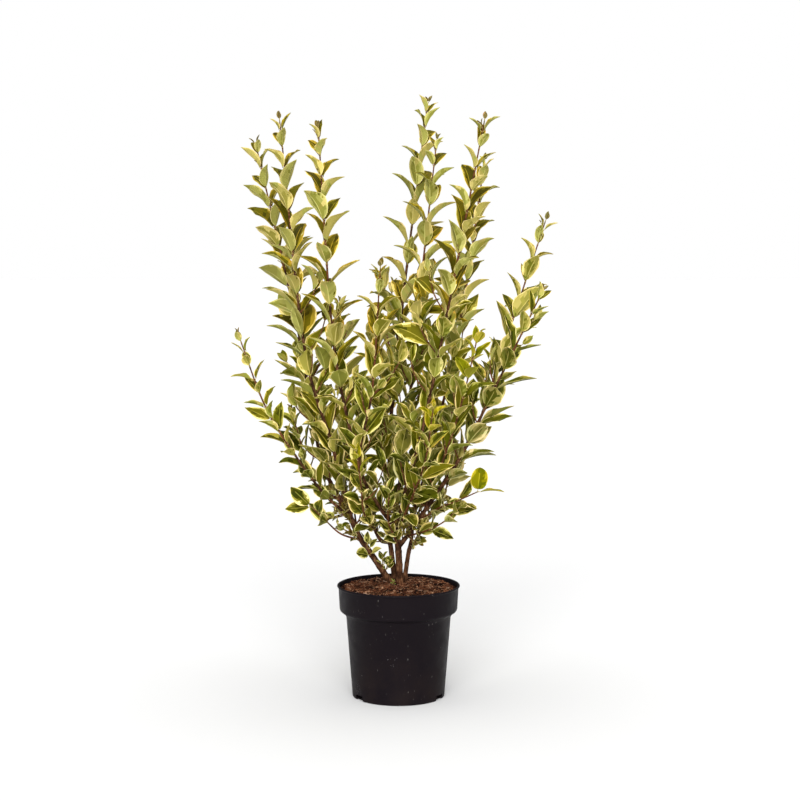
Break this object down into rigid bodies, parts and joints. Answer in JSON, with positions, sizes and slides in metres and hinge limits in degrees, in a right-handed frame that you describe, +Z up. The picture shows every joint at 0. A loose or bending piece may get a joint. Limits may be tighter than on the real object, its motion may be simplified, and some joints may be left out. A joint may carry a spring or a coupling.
{
  "type": "potted golden privet shrub",
  "caption": "Golden privet shrub with upright variegated leafy shoots, standing in a round black nursery pot.",
  "frame": {"origin": "centre of the pot's flat underside", "axes": "+Z up along the pot's axis, -Y towards the front of the plant, +X to the right seen from the front"},
  "size_m": [0.5226, 0.4359, 0.9319],
  "materials": {
    "black_plastic": "moulded black plastic, satin, faintly dusty",
    "compost": "loose red-brown fibrous compost",
    "bark": "thin brown bark with small pale pores",
    "variegated_foliage": "leathery olive-green leaves with irregular cream-yellow margins",
    "young_foliage": "soft yellow-green young leaves"
  },
  "bodies": {
    "root": {"pot": "black_plastic", "compost": "compost", "stem_left": "bark", "stem_middle_left": "bark", "stem_middle": "bark", "stem_right": "bark", "bough_left_outer": "bark", "bough_left_tall": "bark", "bough_left_inner": "bark", "bough_left_low": "bark", "bough_left_side": "bark", "bough_middle_front": "bark", "bough_front_young": "bark", "bough_crown_top": "bark", "bough_crown_second": "bark", "bough_right_front": "bark", "bough_right_back": "bark", "bough_right_outer": "bark", "bough_right_upper": "bark", "bough_right_young": "bark", "bough_low_right": "bark", "bough_low_right_front": "bark", "bough_front_right": "bark", "bough_back_left": "bark", "bough_back_middle": "bark", "bough_back_right": "bark", "foliage_left_outer": "variegated_foliage", "foliage_left_tall": "variegated_foliage", "foliage_left_inner": "variegated_foliage", "foliage_left_low": "variegated_foliage", "foliage_left_side": "variegated_foliage", "foliage_middle_front": "variegated_foliage", "foliage_front_young": "young_foliage", "foliage_crown_top": "variegated_foliage", "foliage_crown_second": "variegated_foliage", "foliage_right_front": "variegated_foliage", "foliage_right_back": "variegated_foliage", "foliage_right_outer": "variegated_foliage", "foliage_right_upper": "variegated_foliage", "foliage_right_young": "young_foliage", "foliage_low_right": "variegated_foliage", "foliage_low_right_front": "variegated_foliage", "foliage_front_right": "young_foliage", "foliage_back_left": "variegated_foliage", "foliage_back_middle": "variegated_foliage", "foliage_back_right": "variegated_foliage", "foliage_low_left": "variegated_foliage", "foliage_low_front": "variegated_foliage", "foliage_low_back_right": "variegated_foliage", "foliage_low_back_left": "variegated_foliage", "foliage_stem_sprig": "variegated_foliage"}
  },
  "joints": []
}
